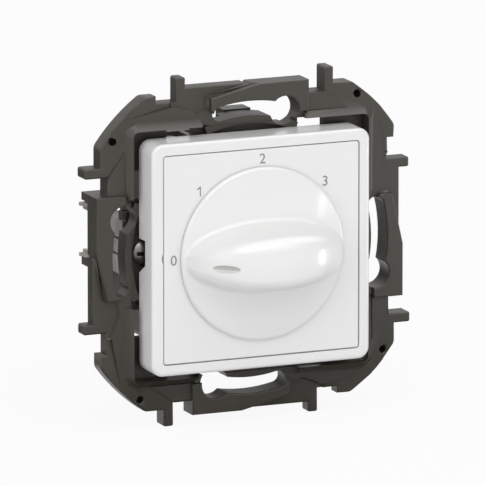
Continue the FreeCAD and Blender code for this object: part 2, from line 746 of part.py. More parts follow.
def up_or_down(low, high, way):
    """The lower and higher of two heights, seen from the top or turned to the bottom."""
    if way > 0:
        return low, high
    return f"-({high})", f"-({low})"


def make_housing_rear():
    body = new_body("housing_rear")
    half = "housing_width / 2"
    pad(body, "block", [rounded_square(half, "housing_corner")],
        "-housing_depth", "housing_depth - housing_split")
    cheek_near = "claw_half_width + cheek_gap"
    cheek_points = [(f"-({half}) + housing_wall", "housing_split"), ("-claw_out", "claw_rear - prong_length"),
                    ("-claw_out", "housing_depth"), (f"-({half}) + housing_wall", "housing_depth")]
    upper = pad(body, "cheek_upper", [corners(cheek_points)],
                f"claw_screw_up + {cheek_near}", "cheek_thickness", "XY_Plane")
    lower = pad(body, "cheek_lower", [corners(cheek_points)],
                f"claw_screw_up - ({cheek_near}) - cheek_thickness", "cheek_thickness", "XY_Plane")
    channel = pocket(body, "claw_channel", [rectangle(
        "-claw_out", "-channel_floor", f"claw_screw_up - ({cheek_near})", f"claw_screw_up + {cheek_near}")],
        "-housing_split", "housing_depth")
    repeat_around(body, "claw_sides", [upper, lower, channel], 2)
    width = "terminal_width / 2 + clamp_clearance"
    for label, spacings, way in terminal_places():
        middle = across(spacings)
        low, high = up_or_down("terminal_floor", f"{half} + housing_wall", way)
        pocket(body, "chamber_" + label, [rectangle(f"{middle} - ({width})", f"{middle} + {width}", low, high)],
               "-terminal_front", "terminal_length")
        low, high = up_or_down("leg_height - wire_entry + clamp_clearance", "leg_height + clamp_clearance", way)
        pocket(body, "wire_entry_" + label, [rectangle(
            f"{middle} - wire_entry / 2", f"{middle} + wire_entry / 2", low, high)],
            "-terminal_front", "housing_depth")
        low, high = up_or_down("leg_height - clamp_clearance",
                               "leg_height + contact_thickness + clamp_clearance", way)
        pocket(body, "leg_slot_" + label, [rectangle(
            f"{middle} - contact_strip / 2 - clamp_clearance",
            f"{middle} + contact_strip / 2 + clamp_clearance",
            low, high)], "-housing_split", "terminal_front - housing_split")
    pocket(body, "pivot_bore", [circle("0", "0", "pivot_diameter + 2 * running_clearance")],
           "-housing_split", "pivot_length + clamp_clearance")
    shaft = "housing_screw_diameter + 2 * running_clearance"
    through = pocket(body, "screw_hole", [circle("screw_place", "screw_place", shaft)],
                     "-housing_split", "housing_depth")
    sink = pocket(body, "screw_sink", [circle("screw_place", "screw_place",
                                              "housing_screw_head + 2 * clamp_clearance")],
                  "-housing_screw_seat", "housing_depth")
    repeat_around(body, "screw_holes", [through, sink], 4)


def make_rotor():
    body = new_body("rotor")
    pad(body, "wheel", [circle("0", "0", "2 * rotor_radius")],
        "-(rotor_front + rotor_thickness)", "rotor_thickness")
    pad(body, "hub", [circle("0", "0", "rotor_hub")],
        "-(rotor_front + rotor_hub_length)", "rotor_hub_length")
    notch = pocket(body, "index_notch", [circle(
        "0", "-(rotor_radius + index_notch_radius - index_notch_depth)", "2 * index_notch_radius")],
        "-rotor_front", "rotor_thickness")
    repeat_around(body, "index_notches", [notch], round(360 / value("index_angle")))
    pocket(body, "drive_bore", [rounded_square("spindle_square / 2 + running_clearance", "running_clearance")],
           "-rotor_front", "rotor_hub_length")
    pocket(body, "spring_seat", [circle("-spring_place", "0", "spring_diameter + 2 * clamp_clearance")],
           "-(rotor_front + rotor_thickness / 2)", "rotor_thickness / 2")


def contact_front():
    """How far behind the wall the fixed contacts' rubbing face lies."""
    return "housing_split - contact_thickness"


def make_wiper():
    body = new_body("wiper")
    rear = f"{contact_front()} - contact_gap"
    pad(body, "blade", [corners([
        ("-wiper_inner", "-wiper_width / 2"), ("-wiper_inner", "wiper_width / 2"),
        ("-(wiper_outer - wiper_width / 2)", "wiper_width / 2", "wiper_width / 2"),
        ("-wiper_outer", "0", "wiper_width / 2"),
        ("-(wiper_outer - wiper_width / 2)", "-wiper_width / 2")])], f"-({rear})", "wiper_thickness")


def make_wiper_spring():
    """A coil spring between the rotor's seat and the wiper."""
    front = value("rotor_front + rotor_thickness / 2")
    rear = value(f"{contact_front()} - contact_gap - wiper_thickness")
    wire = value("spring_wire") / 2
    radius = value("spring_diameter") / 2 - wire
    height = rear - front - 2 * wire
    helix = Part.makeHelix(height / value("spring_turns"), height, radius)
    section = Part.Wire(Part.makeCircle(wire, FreeCAD.Vector(radius, 0, 0), FreeCAD.Vector(0, 1, 0)))
    coil = Part.Wire(helix).makePipeShell([section], True, True)
    node = doc.addObject("Part::Feature", "wiper_spring")
    node.Label = "wiper_spring"
    node.Shape = coil
    node.Placement = FreeCAD.Placement(
        FreeCAD.Vector(-value("spring_place"), front + wire, 0),
        FreeCAD.Rotation(FreeCAD.Vector(1, 0, 0), -90))
    nodes.append(node)


def make_index_spring():
    """A leaf spring across the bottom of the cavity whose nose sits in an index notch."""
    body = new_body("index_spring")
    foot = "-(housing_width / 2 - housing_wall)"
    nose = "-(rotor_radius - index_notch_depth + clamp_clearance + index_spring_thickness)"
    shoulder = f"{nose} - index_spring_bend / 2"
    under = [
        ("-index_spring_half", foot), ("-index_spring_half + index_spring_bend", foot),
        ("-index_spring_bend", shoulder), ("0", nose), ("index_spring_bend", shoulder),
        ("index_spring_half - index_spring_bend", foot), ("index_spring_half", foot)]
    over = [(x, f"{z} + index_spring_thickness") for x, z in reversed(under)]
    pad(body, "leaf", [corners(under + over)], "-(rotor_front + rotor_thickness / 2 + index_spring_width / 2)",
        "index_spring_width")


def make_contacts():
    for label, spacings, way in terminal_places():
        body = new_body("contact_" + label)
        middle = across(spacings)
        side = "contact_strip / 2"
        leg_low, leg_high = up_or_down("leg_height", "leg_height + contact_thickness", way)
        if label == "common":
            pad(body, "ring", [circle("0", "0", "common_ring"), circle("0", "0", "common_bore")],
                "-housing_split", "contact_thickness")
            start = "-common_ring / 2 + contact_thickness"
        else:
            place = on_circle("contact_radius", f"{spacings} * index_angle")
            pad(body, "pad", [circle(*place, "contact_pad")], "-housing_split", "contact_thickness")
            start = f"{place[1]} + contact_thickness"
        strip_low = leg_low if way < 0 else start
        strip_high = start if way < 0 else leg_high
        pad(body, "strip", [rectangle(f"{middle} - {side}", f"{middle} + {side}", strip_low, strip_high)],
            "-housing_split", "contact_thickness")
        pad(body, "leg", [rectangle(f"{middle} - {side}", f"{middle} + {side}", leg_low, leg_high)],
            "-(terminal_front + leg_length)", "terminal_front + leg_length - housing_split")


def make_clamps():
    for label, spacings, way in terminal_places():
        body = new_body("clamp_" + label)
        middle = across(spacings)
        half = "terminal_width / 2"
        low, high = up_or_down("terminal_floor", "terminal_floor + clamp_height", way)
        inner_low, inner_high = up_or_down("terminal_floor + clamp_wall",
                                           "terminal_floor + clamp_height - clamp_wall", way)
        pad(body, "cage", [
            rectangle(f"{middle} - {half}", f"{middle} + {half}", low, high),
            rectangle(f"{middle} - {half} + clamp_wall", f"{middle} + {half} - clamp_wall",
                      inner_low, inner_high)],
            "-(terminal_front + terminal_length - clamp_clearance)", "terminal_length - 2 * clamp_clearance")
        bore = pocket(body, "screw_hole", [circle(
            middle, "terminal_front + terminal_length / 2",
            "terminal_screw_diameter + 2 * running_clearance")],
            f"{way} * (terminal_floor + clamp_height)", "clamp_wall", "XY_Plane")
        bore.Reversed = way < 0


def screw(label, diameter, length, head, head_height, slots):
    """A slotted screw with its head's underside at the origin and its shank along +Y."""
    body = doc.addObject("PartDesign::Body", label)
    body.Label = label
    crown = f"({head_height}) / 2"
    crown_radius = f"(({crown}) ^ 2 + (({head}) / 2) ^ 2) / (2 * ({crown}))"
    revolution(body, "turned", corners([
        ("0", f"-({head_height})", crown_radius), (f"({head}) / 2", f"-({head_height}) + {crown}"),
        (f"({head}) / 2", "0"),
        (f"({diameter}) / 2", "0"), (f"({diameter}) / 2", length), ("0", length)]))
    slot_width = f"({head}) / 6"
    bars = [rectangle(f"-({head})", head, f"-({slot_width}) / 2", f"({slot_width}) / 2")]
    if slots == 2:
        arm = f"({head}) * 0.38"
        slim = f"({slot_width}) / 2"
        bars = [corners([
            (f"-({arm})", f"-({slim})"), (f"-({slim})", f"-({slim})"), (f"-({slim})", f"-({arm})"),
            (slim, f"-({arm})"), (slim, f"-({slim})"), (arm, f"-({slim})"), (arm, slim), (slim, slim),
            (slim, arm), (f"-({slim})", arm), (f"-({slim})", slim), (f"-({arm})", slim)])]
    pocket(body, "driver_slot", bars, head_height, f"({head_height}) / 2")
    return body


def screw_group(label, pattern, placements):
    """Identical screws as one node of separate solids."""
    doc.recompute()
    group = doc.addObject("Part::Feature", label)
    group.Label = label
    group.Shape = Part.makeCompound([pattern.Shape.transformed(place.toMatrix()) for place in placements])
    nodes.append(group)


def make_terminal_screws():
    pattern = screw("terminal_screw", "terminal_screw_diameter", "terminal_screw_length", "terminal_screw_head",
                    "terminal_screw_head_height", 1)
    seat = value("leg_height + contact_thickness + terminal_screw_length")
    depth = value("terminal_front + terminal_length / 2")
    placements = []
    for _, spacings, way in terminal_places():
        turn = FreeCAD.Rotation(FreeCAD.Vector(1, 0, 0), -90 * way)
        place = FreeCAD.Vector(value(across(spacings)), depth, way * seat)
        placements.append(FreeCAD.Placement(place, turn))
    screw_group("terminal_screws", pattern, placements)


def make_housing_screws():
    pattern = screw("housing_screw", "housing_screw_diameter", "housing_screw_length", "housing_screw_head",
                    "housing_screw_head_height", 2)
    depth = value("housing_screw_seat")
    corner = value("screw_place")
    placements = []
    for x in (-corner, corner):
        for z in (-corner, corner):
            turn = FreeCAD.Rotation(FreeCAD.Vector(1, 0, 0), 180)
            placements.append(FreeCAD.Placement(FreeCAD.Vector(x, depth, z), turn))
    screw_group("housing_screws", pattern, placements)


def make_claw(label, placement):
    body = new_body(label)
    mid = "claw_screw_up"
    inside = "claw_out - claw_sheet"
    pad(body, "web", [rectangle("-claw_out", f"-({inside})", "claw_front", "claw_rear")],
        f"{mid} - claw_half_width", "2 * claw_half_width", "XY_Plane")
    flange = corners([
        ("-claw_out", "claw_front"), (f"-({inside} - claw_flange)", "claw_front"),
        (f"-({inside} - claw_flange)", "claw_rear"), ("-(claw_out + prong_reach)", "claw_rear"),
        ("-claw_out", "claw_rear - prong_length")])
    pad(body, "flange_upper", [flange], f"{mid} + claw_half_width - claw_sheet", "claw_sheet", "XY_Plane")
    pad(body, "flange_lower", [flange], f"{mid} - claw_half_width", "claw_sheet", "XY_Plane")
    behind = "claw_out + prong_reach"
    pocket(body, "prong_gap", [rectangle(
        f"-({behind})", "-leg_plate_in", "claw_rear - prong_notch", "claw_rear")],
           f"{mid} + claw_half_width - prong_strip", "2 * (claw_half_width - prong_strip)", "XY_Plane")
    for side, up in (("upper", f"{mid} + tongue_half"), ("lower", f"{mid} - tongue_half")):
        pocket(body, "tongue_slit_" + side, [rectangle(
            f"-({behind})", "-leg_plate_in", "tongue_front", "leg_plate_depth")],
            f"{up} + tongue_slit / 2", "tongue_slit", "XY_Plane")
    trunnion = circle("-pivot_across", "claw_pivot_depth", "2 * trunnion_radius")
    pad(body, "trunnion_upper", [trunnion], f"{mid} + claw_half_width", "trunnion_length", "XY_Plane")
    pad(body, "trunnion_lower", [trunnion], f"{mid} - claw_half_width - trunnion_length",
        "trunnion_length", "XY_Plane")
    slot_half = "claw_screw_diameter / 2 + claw_screw_clearance"
    pad(body, "threaded_leg", [corners([
        ("-claw_out", f"{mid} - leg_plate_half"), ("-leg_plate_in", f"{mid} - leg_plate_half"),
        ("-leg_plate_in", f"{mid} + leg_plate_half"), ("-claw_out", f"{mid} + leg_plate_half")]),
        corners([
        (f"-({inside})", f"{mid} - ({slot_half})"), ("-(leg_plate_in + claw_sheet)", f"{mid} - ({slot_half})"),
        ("-(leg_plate_in + claw_sheet)", f"{mid} + {slot_half}"), (f"-({inside})", f"{mid} + {slot_half}")])],
        "-(leg_plate_depth + claw_sheet)", "claw_sheet")
    body.Placement = placement


def make_claw_screw(label, placement):
    body = screw(label, "claw_screw_diameter", "claw_screw_length", "claw_screw_head",
                 "claw_screw_head_height", 2)
    nodes.append(body)
    rest = FreeCAD.Placement(FreeCAD.Vector(
        -value("claw_screw_across"), -value("ledge_front"), value("claw_screw_up")), FreeCAD.Rotation())
    body.Placement = placement.multiply(rest)


make_support_frame()
make_bezel()
make_face_plate()
make_knob()
make_spindle()
make_spindle_clip()
make_housing_front()
make_housing_rear()
make_rotor()
make_wiper()
make_wiper_spring()
make_index_spring()
make_contacts()
make_clamps()
make_terminal_screws()
make_housing_screws()
make_claw("claw_left", FreeCAD.Placement())
make_claw("claw_right", HALF_TURN)
make_claw_screw("claw_screw_left", FreeCAD.Placement())
make_claw_screw("claw_screw_right", HALF_TURN)
doc.recompute()

faults = [part.Name for part in doc.Objects if "Invalid" in part.State or "Error" in part.State]
if faults:
    raise RuntimeError("These did not build: " + ", ".join(faults))
for node in nodes:
    if node.Shape.isNull() or not node.Shape.isValid() or not node.Shape.Solids:
        raise RuntimeError("This has no sound solid: " + node.Label)

os.makedirs("parts", exist_ok=True)
for node in nodes:
    node.Shape.exportStep(f"parts/{node.Label}.step")
    print(node.Label, len(node.Shape.Solids), round(node.Shape.Volume, 1))
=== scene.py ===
import json
import math

import bmesh
import bpy
from mathutils import Matrix, Vector


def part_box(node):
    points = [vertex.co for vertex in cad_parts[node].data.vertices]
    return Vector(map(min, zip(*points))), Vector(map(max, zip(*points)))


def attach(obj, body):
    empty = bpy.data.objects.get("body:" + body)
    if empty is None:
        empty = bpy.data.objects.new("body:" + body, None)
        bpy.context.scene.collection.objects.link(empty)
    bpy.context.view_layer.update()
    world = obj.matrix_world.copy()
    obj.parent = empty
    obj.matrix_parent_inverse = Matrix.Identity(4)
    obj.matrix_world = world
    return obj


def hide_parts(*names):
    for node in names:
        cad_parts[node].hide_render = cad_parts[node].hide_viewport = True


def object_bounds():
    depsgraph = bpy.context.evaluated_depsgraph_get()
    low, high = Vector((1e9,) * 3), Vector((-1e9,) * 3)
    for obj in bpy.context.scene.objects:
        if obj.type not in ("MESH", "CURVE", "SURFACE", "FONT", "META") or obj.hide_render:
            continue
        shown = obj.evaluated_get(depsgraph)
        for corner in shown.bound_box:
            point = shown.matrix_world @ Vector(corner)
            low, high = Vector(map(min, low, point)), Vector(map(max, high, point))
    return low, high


# Fan speed control switch on a pale floor, seen from the photograph's place. Sizes are in metres.

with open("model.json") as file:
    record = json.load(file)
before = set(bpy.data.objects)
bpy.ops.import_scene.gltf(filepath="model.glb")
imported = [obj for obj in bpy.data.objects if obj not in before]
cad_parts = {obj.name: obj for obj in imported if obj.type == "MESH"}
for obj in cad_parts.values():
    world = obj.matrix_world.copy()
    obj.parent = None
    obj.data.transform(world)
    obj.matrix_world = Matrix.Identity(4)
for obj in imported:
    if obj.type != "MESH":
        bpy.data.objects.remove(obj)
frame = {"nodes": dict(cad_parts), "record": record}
cad_low, cad_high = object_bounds()
nodes = frame["nodes"]
MM = 0.001


# Shared finishes

GRAIN_DETAIL = 3.0
PATCH_DETAIL = 2.0
PATCH_LOW = 0.3
PATCH_HIGH = 0.7
LINE_STRETCH = (1.0, 0.08, 1.0)
RELIEF_DEPTH = 0.02 * MM


def new_group(name, inputs, outputs):
    """An empty finish group with its number sockets, and its input and output nodes."""
    group = bpy.data.node_groups.new(name, "ShaderNodeTree")
    for label, default in inputs:
        socket = group.interface.new_socket(label, in_out="INPUT", socket_type="NodeSocketFloat")
        socket.default_value = default
    for label in outputs:
        group.interface.new_socket(label, in_out="OUTPUT", socket_type="NodeSocketFloat")
    return group, group.nodes.new("NodeGroupInput"), group.nodes.new("NodeGroupOutput")


def add_noise(group, given, place, scale):
    """A noise at the given coordinates, whose scale is one of the group's inputs."""
    texture = group.nodes.new("ShaderNodeTexNoise")
    group.links.new(place, texture.inputs["Vector"])
    group.links.new(given.outputs[scale], texture.inputs["Scale"])
    return texture


def vary_gloss(group, given, out, mask):
    """Roughness that goes from its low to its high value over a slow noise."""
    spread = group.nodes.new("ShaderNodeMapRange")
    spread.interpolation_type = "SMOOTHSTEP"
    spread.inputs["From Min"].default_value = PATCH_LOW
    spread.inputs["From Max"].default_value = PATCH_HIGH
    group.links.new(mask, spread.inputs["Value"])
    group.links.new(given.outputs["Rough Low"], spread.inputs["To Min"])
    group.links.new(given.outputs["Rough High"], spread.inputs["To Max"])
    group.links.new(spread.outputs["Result"], out.inputs["Roughness"])


def moulded_grain_group():
    """Fine spark-eroded grain with a slow change in gloss, as moulded plastic has."""
    group, given, out = new_group(
        "moulded_grain",
        [("Grain Scale", 6000.0), ("Patch Scale", 90.0), ("Rough Low", 0.4), ("Rough High", 0.55)],
        ["Height", "Roughness", "Patch"])
    place = group.nodes.new("ShaderNodeTexCoord").outputs["Object"]
    grain = add_noise(group, given, place, "Grain Scale")
    grain.inputs["Detail"].default_value = GRAIN_DETAIL
    patch = add_noise(group, given, place, "Patch Scale")
    patch.inputs["Detail"].default_value = PATCH_DETAIL
    group.links.new(grain.outputs["Fac"], out.inputs["Height"])
    group.links.new(patch.outputs["Fac"], out.inputs["Patch"])
    vary_gloss(group, given, out, patch.outputs["Fac"])
    return group


def plated_group():
    """Fine drawn lines and cloudy patches, as zinc-plated or rolled metal has."""
    group, given, out = new_group(
        "plated_metal",
        [("Line Scale", 900.0), ("Cloud Scale", 260.0), ("Rough Low", 0.25), ("Rough High", 0.45)],
        ["Height", "Roughness", "Cloud"])
    place = group.nodes.new("ShaderNodeTexCoord").outputs["Object"]
    stretch = group.nodes.new("ShaderNodeMapping")
    stretch.inputs["Scale"].default_value = LINE_STRETCH
    group.links.new(place, stretch.inputs["Vector"])
    lines = add_noise(group, given, stretch.outputs["Vector"], "Line Scale")
    cloud = add_noise(group, given, place, "Cloud Scale")
    group.links.new(lines.outputs["Fac"], out.inputs["Height"])
    group.links.new(cloud.outputs["Fac"], out.inputs["Cloud"])
    vary_gloss(group, given, out, cloud.outputs["Fac"])
    return group


MOULDED_GRAIN = moulded_grain_group()
PLATED_METAL = plated_group()


def finish_material(name, group, values, mask, dark, light, bump):
    """One Principled material whose colour, roughness and bump come from a shared finish group."""
    material = bpy.data.materials.new(name)
    material.use_nodes = True
    tree = material.node_tree
    shader = tree.nodes["Principled BSDF"]
    finish = tree.nodes.new("ShaderNodeGroup")
    finish.node_tree = group
    for label, number in values.items():
        finish.inputs[label].default_value = number
    tone = tree.nodes.new("ShaderNodeMix")
    tone.data_type = "RGBA"
    tone.inputs["A"].default_value = (*dark, 1.0)
    tone.inputs["B"].default_value = (*light, 1.0)
    relief = tree.nodes.new("ShaderNodeBump")
    relief.inputs["Strength"].default_value = bump
    relief.inputs["Distance"].default_value = RELIEF_DEPTH
    tree.links.new(finish.outputs[mask], tone.inputs["Factor"])
    tree.links.new(tone.outputs["Result"], shader.inputs["Base Color"])
    tree.links.new(finish.outputs["Roughness"], shader.inputs["Roughness"])
    tree.links.new(finish.outputs["Height"], relief.inputs["Height"])
    tree.links.new(relief.outputs["Normal"], shader.inputs["Normal"])
    return material


def plastic(name, grain, rough, dark, light, bump):
    """Moulded plastic, or paint on it."""
    values = {"Grain Scale": grain, "Rough Low": rough[0], "Rough High": rough[1]}
    return finish_material(name, MOULDED_GRAIN, values, "Patch", dark, light, bump)


def metal(name, rough, dark, light, bump):
    """Plated or rolled metal."""
    values = {"Rough Low": rough[0], "Rough High": rough[1]}
    material = finish_material(name, PLATED_METAL, values, "Cloud", dark, light, bump)
    set_plain(material, "Metallic", 1.0)
    return material


def set_plain(material, label, number):
    """Sets a shader value that is the same all over the surface."""
    material.node_tree.nodes["Principled BSDF"].inputs[label].default_value = number


dark_plastic = plastic("dark_plastic", grain=4200.0, rough=(0.36, 0.46), dark=(0.040, 0.0350, 0.0265),
                       light=(0.050, 0.0440, 0.0345), bump=0.35)
white_plastic = plastic("white_plastic", grain=5200.0, rough=(0.275, 0.295), dark=(0.84, 0.84, 0.835),
                        light=(0.86, 0.86, 0.855), bump=0.06)
set_plain(white_plastic, "Coat Weight", 0.35)
set_plain(white_plastic, "Coat Roughness", 0.06)
# Painted shade: a greyer white for the scoop's downward-facing upper wall, standing in for the shade it falls
# in.
scoop_painted_shade = plastic("scoop_painted_shade", grain=5200.0, rough=(0.4, 0.45), dark=(0.58, 0.58, 0.565),
                        light=(0.61, 0.61, 0.595), bump=0.06)
# Painted shade: near-black, low-gloss plastic for the walls of the frame's corner holes, standing in for the
# shade deep inside them.
hole_painted_shade = plastic("hole_painted_shade", grain=4200.0, rough=(0.8, 0.9), dark=(0.006, 0.005, 0.004),
                     light=(0.008, 0.007, 0.005), bump=0.2)
set_plain(hole_painted_shade, "Specular IOR Level", 0.1)
grey_plastic = plastic("grey_plastic", grain=4000.0, rough=(0.4, 0.5), dark=(0.44, 0.44, 0.42),
                       light=(0.52, 0.52, 0.50), bump=0.2)
mark_paint = plastic("mark_paint", grain=9000.0, rough=(0.45, 0.55), dark=(0.24, 0.24, 0.23),
                     light=(0.30, 0.30, 0.29), bump=0.1)
zinc_steel = metal("zinc_steel", rough=(0.5, 0.62), dark=(0.38, 0.365, 0.34), light=(0.50, 0.485, 0.46),
                   bump=0.25)
screw_steel = metal("screw_steel", rough=(0.25, 0.45), dark=(0.17, 0.165, 0.155), light=(0.25, 0.24, 0.23),
                    bump=0.25)
spring_steel = metal("spring_steel", rough=(0.3, 0.5), dark=(0.30, 0.29, 0.28), light=(0.42, 0.41, 0.40),
                     bump=0.2)
contact_brass = metal("contact_brass", rough=(0.22, 0.4), dark=(0.62, 0.43, 0.18), light=(0.76, 0.56, 0.26),
                      bump=0.2)

SLOT_MATERIALS = {
    "dark_plastic": dark_plastic, "white_plastic": white_plastic, "grey_plastic": grey_plastic,
    "steel": zinc_steel, "spring_steel": spring_steel, "brass": contact_brass,
}
SCREWS = ("claw_screw_left", "claw_screw_right", "terminal_screws", "housing_screws")


def give(piece, material):
    """Makes the material the only one of the piece."""
    piece.data.materials.clear()
    piece.data.materials.append(material)


for part in frame["record"]["subparts"]:
    give(nodes[part["node"]], SLOT_MATERIALS[part["material_slot"]])
for name in SCREWS:
    give(nodes[name], screw_steel)


# Pointer: the upper wall of the scoop in the knob's grip is painted a greyer white than the knob, as painted
# shade for the shade that downward-facing wall falls in

SCOOP_MIDDLE = Vector((-12.7, -21.75, -0.4)) * MM
SCOOP_RADII = Vector((3.1, 1.3, 0.85)) * MM
SCOOP_TURN = Matrix.Rotation(math.radians(38.4), 3, "Z")
LOWER_LIP = 0.62


def in_scoop(place):
    """True inside the ellipsoid that is cut into the grip."""
    aside = SCOOP_TURN @ (place - SCOOP_MIDDLE)
    return Vector(along / radius for along, radius in zip(aside, SCOOP_RADII)).length < 1.0


def paint_scoop_shade():
    """Paints shade on the scoop in a greyer material, down to the lip that faces up."""
    knob = nodes["knob"]
    knob.data.materials.append(scoop_painted_shade)
    for face in knob.data.polygons:
        # Painted shade: faces inside the scoop that do not face up get the greyer material.
        shaded = face.normal.z < LOWER_LIP and in_scoop(knob.matrix_world @ face.center)
        face.material_index = 1 if shaded else 0


paint_scoop_shade()


# Moulded edges: the frame's outline gets the small radius that the tool leaves on its front edges, and the
# walls of its corner holes get painted shade

OUTER_REACH = 31.0 * MM
FRAME_EDGE = 0.42 * MM
EDGE_SEGMENTS = 3
MERGE_REACH = 0.002 * MM
FLAT_ENOUGH = math.radians(0.6)
SHARP = math.radians(28.0)
WALL_LEAN = 0.1
FRONT_LEAN = 0.3
HOLE_CIRCLE = 39.9 * MM
HOLE_ANGLE = math.radians(-38.86)
HOLE_REACH = 1.0 * MM
QUARTER_TURN = math.pi / 2


def on_outline(edge):
    """True where a front face of the frame meets its outer wall."""
    if not edge.is_manifold or not edge.is_convex or edge.calc_face_angle() < SHARP:
        return False
    if any(max(abs(vert.co.x), abs(vert.co.z)) < OUTER_REACH for vert in edge.verts):
        return False
    wall, front = sorted(-face.normal.y for face in edge.link_faces)
    return abs(wall) < WALL_LEAN and front > FRONT_LEAN


def in_corner_hole(face):
    """True for the wall of one of the four corner holes."""
    middle = face.calc_center_median()
    turned = math.atan2(middle.z, middle.x) - HOLE_ANGLE
    aside = HOLE_CIRCLE * (turned - QUARTER_TURN * round(turned / QUARTER_TURN))
    outward = math.hypot(middle.x, middle.z) - HOLE_CIRCLE
    return math.hypot(aside, outward) < HOLE_REACH and abs(face.normal.y) < WALL_LEAN


def soften_frame():
    """A copy of the frame, merged back to whole faces, with its outline's front edges rounded and painted
    shade on the walls of its corner holes.
    """
    node = nodes["support_frame"]
    mesh = node.data.copy()
    mesh.transform(node.matrix_world)
    shape = bmesh.new()
    shape.from_mesh(mesh)
    bmesh.ops.remove_doubles(shape, verts=shape.verts, dist=MERGE_REACH)
    bmesh.ops.dissolve_limit(shape, angle_limit=FLAT_ENOUGH, verts=shape.verts, edges=shape.edges)
    shape.normal_update()
    outline = [edge for edge in shape.edges if on_outline(edge)]
    bmesh.ops.bevel(shape, geom=outline, offset=FRAME_EDGE, offset_type="OFFSET", segments=EDGE_SEGMENTS,
                    profile=0.5, affect="EDGES", clamp_overlap=False, material=-1)
    # Painted shade: the walls of the four corner holes get the near-black hole material.
    mesh.materials.append(hole_painted_shade)
    for face in shape.faces:
        face.material_index = 1 if in_corner_hole(face) else 0
    shape.to_mesh(mesh)
    shape.free()
    mesh.shade_smooth()
    mesh.set_sharp_from_angle(angle=SHARP)
    piece = bpy.data.objects.new("frame_moulded", mesh)
    bpy.context.scene.collection.objects.link(piece)
    flatten = piece.modifiers.new("face_normals", "WEIGHTED_NORMAL")
    flatten.keep_sharp = True
    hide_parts("support_frame")
    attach(piece, "base")


soften_frame()


# Dial numbers printed on the face plate

FACE_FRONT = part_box("face_plate")[0].y
MARK_RADIUS = 20.35 * MM
MARK_ASIDE = 0.18 * MM
MARK_HEIGHT = 2.15 * MM
MARK_STROKE = 0.26 * MM
FLAG_DROP = 0.5 * MM
FLAG_REACH = 0.62 * MM
TIP_SHARE = 0.45
CROTCH_SHARE = 0.4
PRINT_DEPTH = 0.01 * MM
PRINT_SWELL = 0.02 * MM
DIGIT_SHARE = 0.7
DIAL_NUMBERS = (("0", 180), ("1", 135), ("2", 90), ("3", 45))


def number_mesh(text):
    """A printed digit as a thin flat mesh, centred on the origin and read from +Z."""
    curve = bpy.data.curves.new("number_" + text, "FONT")
    curve.body = text
    curve.align_x = "CENTER"
    curve.align_y = "CENTER"
    curve.size = MARK_HEIGHT / DIGIT_SHARE
    curve.extrude = PRINT_DEPTH
    curve.offset = PRINT_SWELL
    holder = bpy.data.objects.new("number_" + text, curve)
    bpy.context.scene.collection.objects.link(holder)
    bpy.context.view_layer.update()
    mesh = bpy.data.meshes.new_from_object(holder.evaluated_get(bpy.context.evaluated_depsgraph_get()))
    bpy.data.objects.remove(holder)
    across = [vert.co.x for vert in mesh.vertices]
    up = [vert.co.y for vert in mesh.vertices]
    middle = Vector(((min(across) + max(across)) / 2, (min(up) + max(up)) / 2, 0.0))
    mesh.transform(Matrix.Translation(-middle))
    return mesh


def one_mesh():
    """The digit one with a flag, which the plain font leaves off."""
    top = MARK_HEIGHT / 2
    flag_top = top - FLAG_DROP
    crotch = top - CROTCH_SHARE * FLAG_DROP - MARK_STROKE
    outline = [(0.0, -top), (MARK_STROKE, -top), (MARK_STROKE, top), (TIP_SHARE * MARK_STROKE, top),
               (-FLAG_REACH, flag_top), (-FLAG_REACH, flag_top - MARK_STROKE), (0.0, crotch)]
    mesh = bpy.data.meshes.new("number_1")
    shape = bmesh.new()
    face = shape.faces.new([shape.verts.new((x, y, -PRINT_DEPTH)) for x, y in outline])
    raised = bmesh.ops.extrude_face_region(shape, geom=[face])
    lifted = [item for item in raised["geom"] if isinstance(item, bmesh.types.BMVert)]
    bmesh.ops.translate(shape, verts=lifted, vec=(0, 0, 2 * PRINT_DEPTH))
    bmesh.ops.recalc_face_normals(shape, faces=shape.faces)
    shape.to_mesh(mesh)
    shape.free()
    return mesh


def dial_number(text, degrees):
    """One number on the plate, at its angle round the knob."""
    mesh = one_mesh() if text == "1" else number_mesh(text)
    angle = math.radians(degrees)
    place = Vector((MARK_ASIDE + MARK_RADIUS * math.cos(angle), FACE_FRONT, MARK_RADIUS * math.sin(angle)))
    mesh.transform(Matrix.Translation(place) @ Matrix.Rotation(math.radians(90), 4, "X"))
    piece = bpy.data.objects.new("dial_number_" + text, mesh)
    bpy.context.scene.collection.objects.link(piece)
    give(piece, mark_paint)
    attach(piece, "base")


for text, degrees in DIAL_NUMBERS:
    dial_number(text, degrees)


# Floor, cards and lights

ROOM_LIGHT = 0.61
FLOOR_HALF = 3.0
FLOOR_DROP = 0.2 * MM
FLOOR_TONE = (0.85, 0.85, 0.85, 1.0)
FLOOR_WHITE = 0.92
CARD_DROP = 0.1 * MM
CARD_TONE = (0.02, 0.02, 0.02, 1.0)
CARD_ROUGH = 0.9


def level_sheet(name, wide, deep, middle):
    """A flat rectangle of the stage, parallel to the floor."""
    mesh = bpy.data.meshes.new(name)
    shape = bmesh.new()
    bmesh.ops.create_grid(shape, x_segments=1, y_segments=1, size=0.5)
    bmesh.ops.scale(shape, verts=shape.verts, vec=(wide, deep, 1.0))
    bmesh.ops.translate(shape, verts=shape.verts, vec=middle)
    shape.to_mesh(mesh)
    shape.free()
    sheet = bpy.data.objects.new(name, mesh)
    bpy.context.scene.collection.objects.link(sheet)
    return sheet


def direct_view(tree, path):
    """One for rays that look at the backdrop straight on, in a reflection or through a clear piece."""
    total = path.outputs["Is Camera Ray"]
    for label in ("Is Glossy Ray", "Is Transmission Ray"):
        either = tree.nodes.new("ShaderNodeMath")
        either.operation = "MAXIMUM"
        tree.links.new(total, either.inputs[0])
        tree.links.new(path.outputs[label], either.inputs[1])
        total = either.outputs["Value"]
    return total


